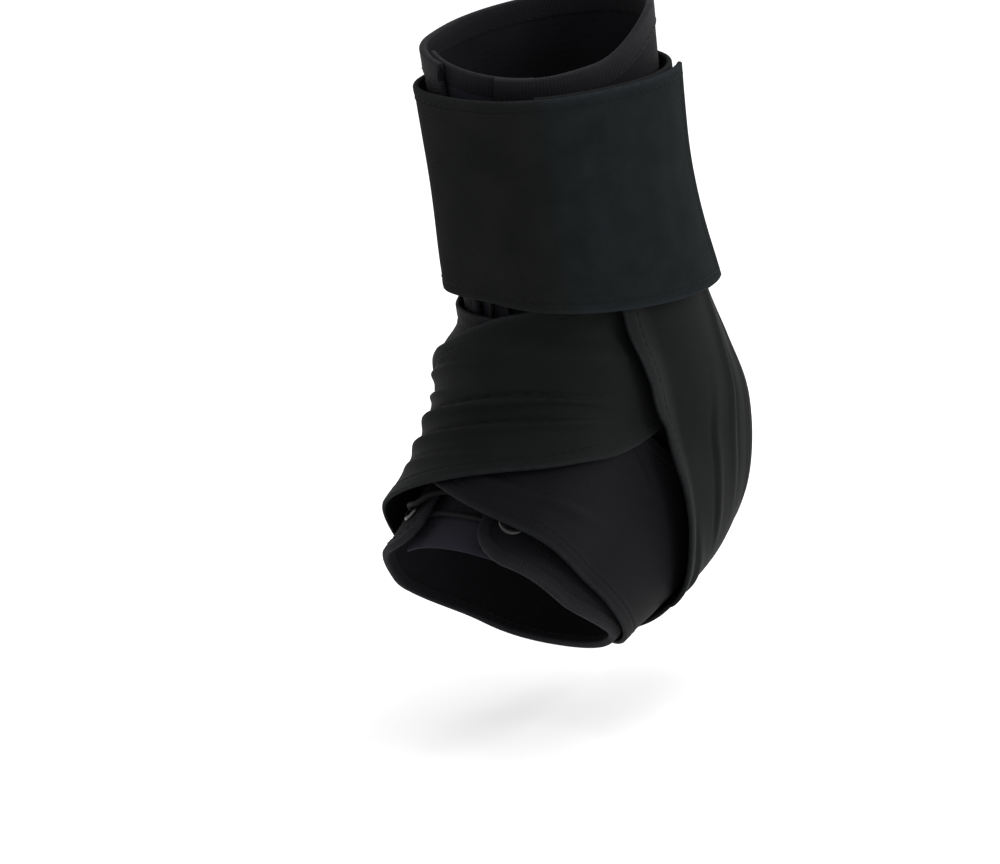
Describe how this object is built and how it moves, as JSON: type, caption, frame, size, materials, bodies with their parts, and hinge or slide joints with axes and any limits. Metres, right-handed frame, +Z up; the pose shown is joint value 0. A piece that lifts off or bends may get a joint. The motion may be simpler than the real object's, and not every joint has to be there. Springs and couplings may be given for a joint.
{
  "type": "lace-up ankle brace",
  "caption": "Worn lace-up ankle brace: an open-heel body with a tongue and laced flaps, figure-of-eight straps over the instep and under the sole, and a wide wrap-round cuff.",
  "frame": {"origin": "on the leg's middle line, at about the height of the sole, where the brace sits on the foot", "axes": "+Z up the leg, -Y towards the toes, +X to the outer side of the left foot"},
  "size_m": [0.0897, 0.1462, 0.2214],
  "materials": {
    "body_cloth": "black coated nylon, fine plain weave, dull",
    "tongue_cloth": "black padded knit, dull",
    "binding_tape": "black folded binding tape",
    "strap_cloth": "black smooth strap cloth with a faint sheen",
    "cuff_cloth": "black brushed loop cloth, dull",
    "lace_cord": "black braided lace",
    "eyelet_metal": "black lacquered brass"
  },
  "bodies": {
    "root": {"brace_body": "body_cloth", "tongue": "tongue_cloth", "collar_binding": "binding_tape", "inner_strap": "strap_cloth", "outer_strap": "strap_cloth", "cuff_wrap": "cuff_cloth", "lace": "lace_cord", "eyelet_outer_1": "eyelet_metal", "eyelet_outer_2": "eyelet_metal", "eyelet_outer_3": "eyelet_metal", "eyelet_outer_4": "eyelet_metal", "eyelet_outer_5": "eyelet_metal", "eyelet_inner_1": "eyelet_metal", "eyelet_inner_2": "eyelet_metal", "eyelet_inner_3": "eyelet_metal", "eyelet_inner_4": "eyelet_metal", "eyelet_inner_5": "eyelet_metal"}
  },
  "joints": []
}
